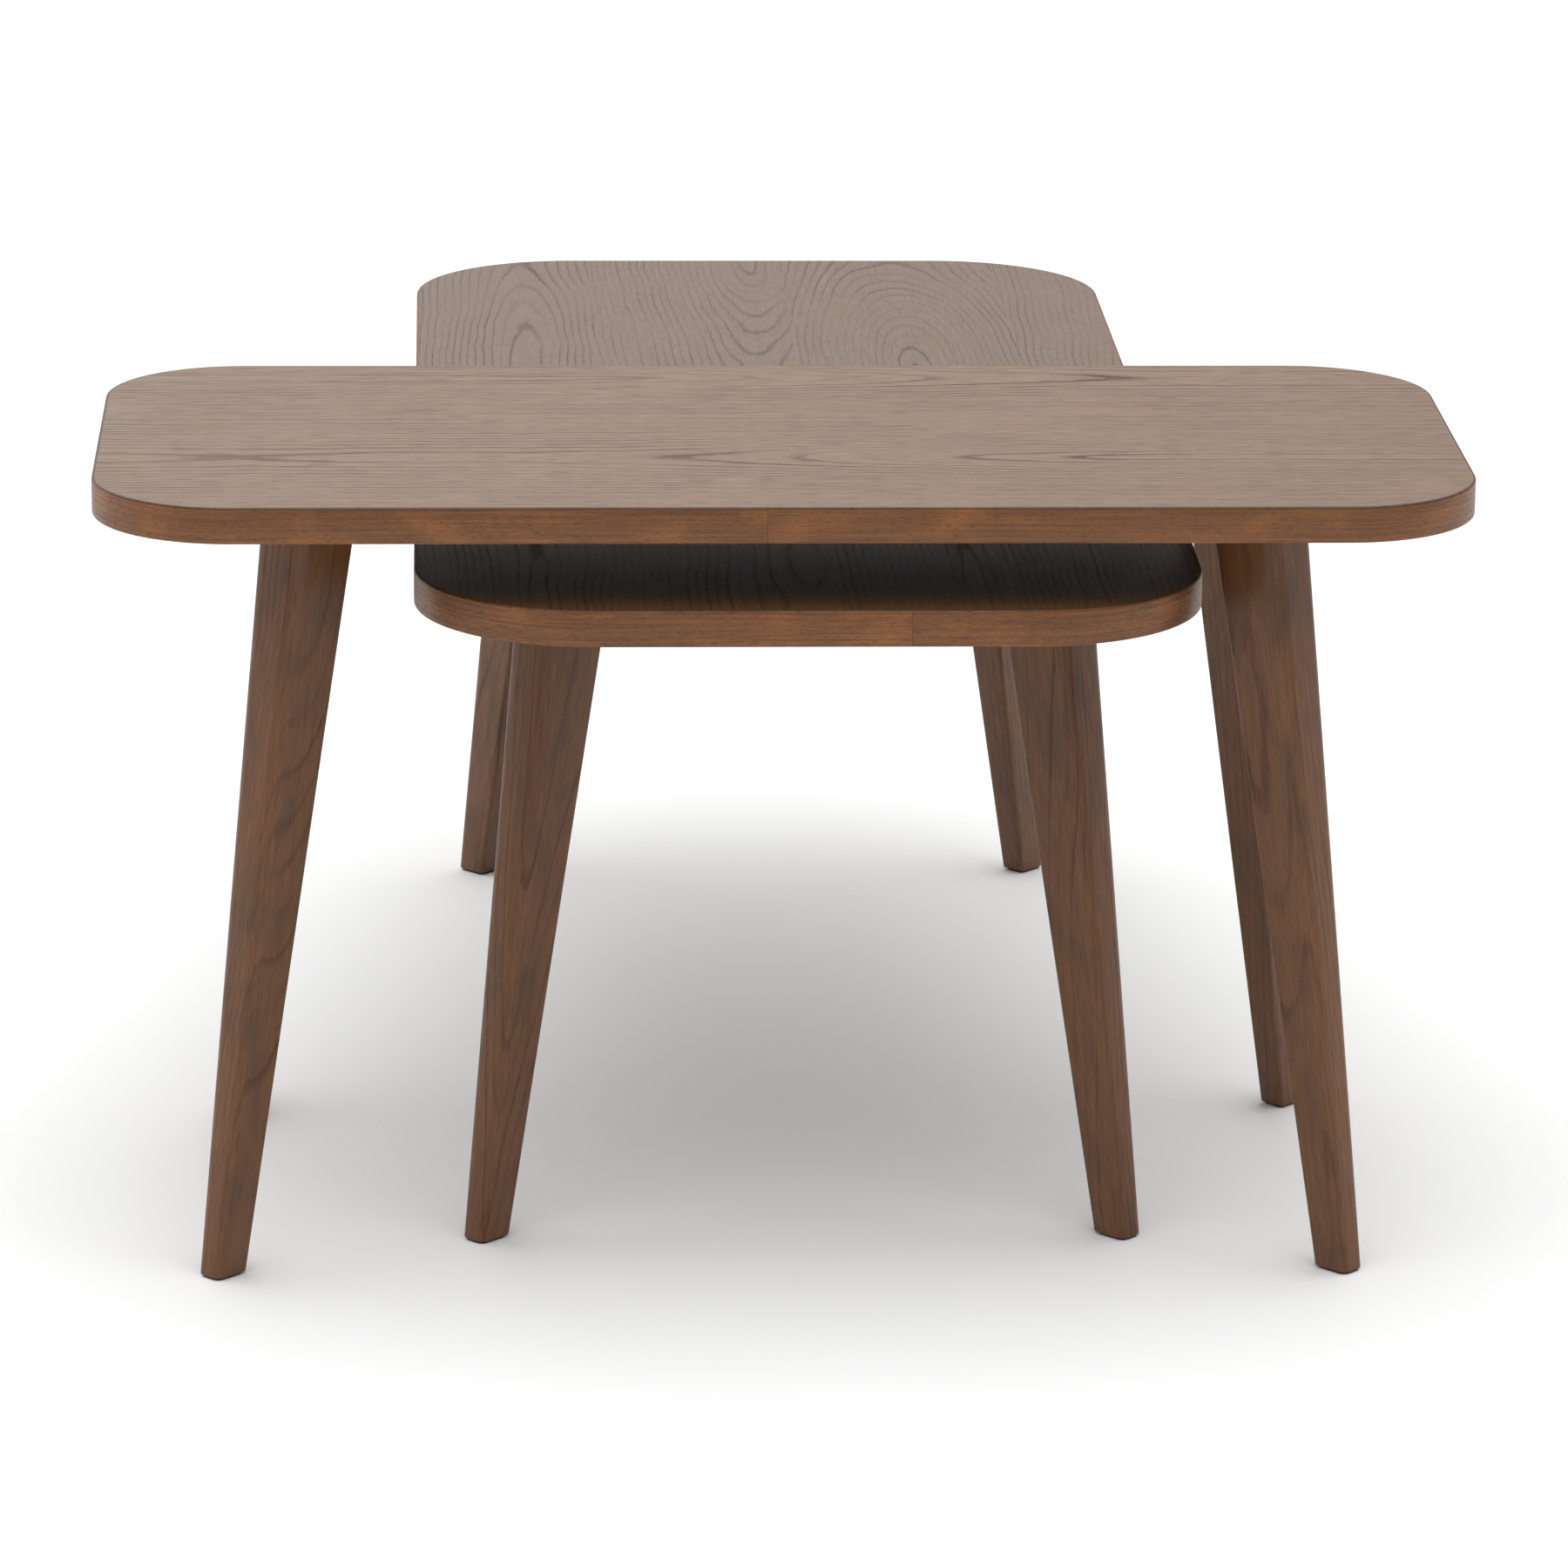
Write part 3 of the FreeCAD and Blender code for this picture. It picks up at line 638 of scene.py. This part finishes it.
def wool_felt():
    """Pressed felt: matted fibres with no shine and a soft nap."""
    material, tree, shader = new_material("pressed_wool_felt")
    place = add_node(tree, "ShaderNodeTexCoord", output="Object")
    nap = add_node(tree, "ShaderNodeTexNoise", links={"Vector": place, "Scale": 1500.0, "Detail": 5.0})
    tone = add_node(tree, "ShaderNodeMix", {"data_type": "RGBA"},
                    {"Factor": nap, 6: linear("#2b2420"), 7: linear("#4a3f38")}, output=2)
    tree.links.new(tone, shader.inputs["Base Color"])
    bump = add_node(tree, "ShaderNodeBump", links={"Height": nap, "Distance": 0.0003})
    tree.links.new(bump, shader.inputs["Normal"])
    shader.inputs["Roughness"].default_value = 0.95
    shader.inputs["Sheen Weight"].default_value = 0.3
    return material


felt = wool_felt()
for table in TABLES:
    for corner in CORNERS:
        dress(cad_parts[f"{table}_felt_pad_{corner}"], felt)

# ------------------------------------------------------------------ studio
# A white floor, an even white surround and one large soft light overhead.


def white_floor():
    """Matt white floor sheet that runs out of sight on every side."""
    material, _, shader = new_material("white_floor")
    shader.inputs["Base Color"].default_value = linear("#eeeeee")
    shader.inputs["Roughness"].default_value = 0.9
    bpy.ops.mesh.primitive_plane_add(size=200)
    floor = bpy.context.object
    floor.name = "studio_floor"
    dress(floor, material)
    floor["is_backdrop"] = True


def soft_light(name, place, target, size, power):
    """A square soft box that faces its target."""
    light = bpy.data.lights.new(name, "AREA")
    light.shape = "SQUARE"
    light.size = size
    light.energy = power
    lamp = bpy.data.objects.new(name, light)
    lamp.location = place
    lamp.rotation_euler = (Vector(target) - Vector(place)).to_track_quat("-Z", "Y").to_euler()
    bpy.context.scene.collection.objects.link(lamp)


def studio_surround():
    """A white room: bright ceiling, lit back wall brighter to the left, dimmer camera side."""
    world = bpy.data.worlds.new("white_surround")
    bpy.context.scene.world = world
    world.use_nodes = True
    tree = world.node_tree
    direction = add_node(tree, "ShaderNodeTexCoord", output="Generated")
    side, back, rise = add_node(tree, "ShaderNodeSeparateXYZ", links={0: direction}).node.outputs
    wall = add_node(tree, "ShaderNodeMapRange", links={"Value": back, "From Min": -0.4, "From Max": 0.5,
                                                       "To Min": 0.15, "To Max": 1.2})
    slant = add_node(tree, "ShaderNodeMapRange", links={"Value": side, "From Min": -0.1, "From Max": 0.3,
                                                        "To Min": 1.1, "To Max": 0.65})
    lit_wall = add_node(tree, "ShaderNodeMath", {"operation": "MULTIPLY"}, {0: wall, 1: slant})
    skirting = add_node(tree, "ShaderNodeMapRange", links={"Value": rise, "From Min": 0.04, "From Max": 0.20,
                                                           "To Min": 0.4, "To Max": 1.0})
    low_wall = add_node(tree, "ShaderNodeMath", {"operation": "MULTIPLY"}, {0: lit_wall, 1: skirting})
    height = add_node(tree, "ShaderNodeMapRange", links={"Value": rise, "From Min": 0.45, "From Max": 0.80})
    strength = add_node(tree, "ShaderNodeMix", links={"Factor": height, 2: low_wall, 3: 1.9})
    background = tree.nodes["Background"]
    tree.links.new(strength, background.inputs["Strength"])
    background.inputs["Color"].default_value = (1, 1, 1, 1)


white_floor()
studio_surround()
soft_light("overhead_soft_box", (0.0, -0.2, 2.6), (0, 0, 0.3), 2.4, 12)
bpy.context.scene.view_settings.view_transform = "Standard"

# ------------------------------------------------------------------ camera
# A long lens a little above the tops, square to the tall table's front.

pitch, yaw, roll = 0.2784, -0.0464, 0.0100
ahead = Vector((-math.sin(yaw) * math.cos(pitch), math.cos(yaw) * math.cos(pitch), -math.sin(pitch)))
right = Vector((math.cos(yaw), math.sin(yaw), 0))
up = right.cross(ahead)
turned_right = math.cos(roll) * right + math.sin(roll) * up
turned_up = math.cos(roll) * up - math.sin(roll) * right
lens = bpy.data.cameras.new("camera")
lens.lens = 175.6
lens.sensor_width = 36
lens.clip_end = 200
camera = bpy.data.objects.new("camera", lens)
camera.matrix_world = Matrix((turned_right, turned_up, -ahead)).transposed().to_4x4()
camera.location = (-0.2185, -5.1507, 1.6612)
bpy.context.scene.collection.objects.link(camera)
bpy.context.scene.camera = camera

boxes = {"cad": cad_bounds, "visual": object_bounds()}
{name: [list(corner) for corner in box] for name, box in boxes.items()}
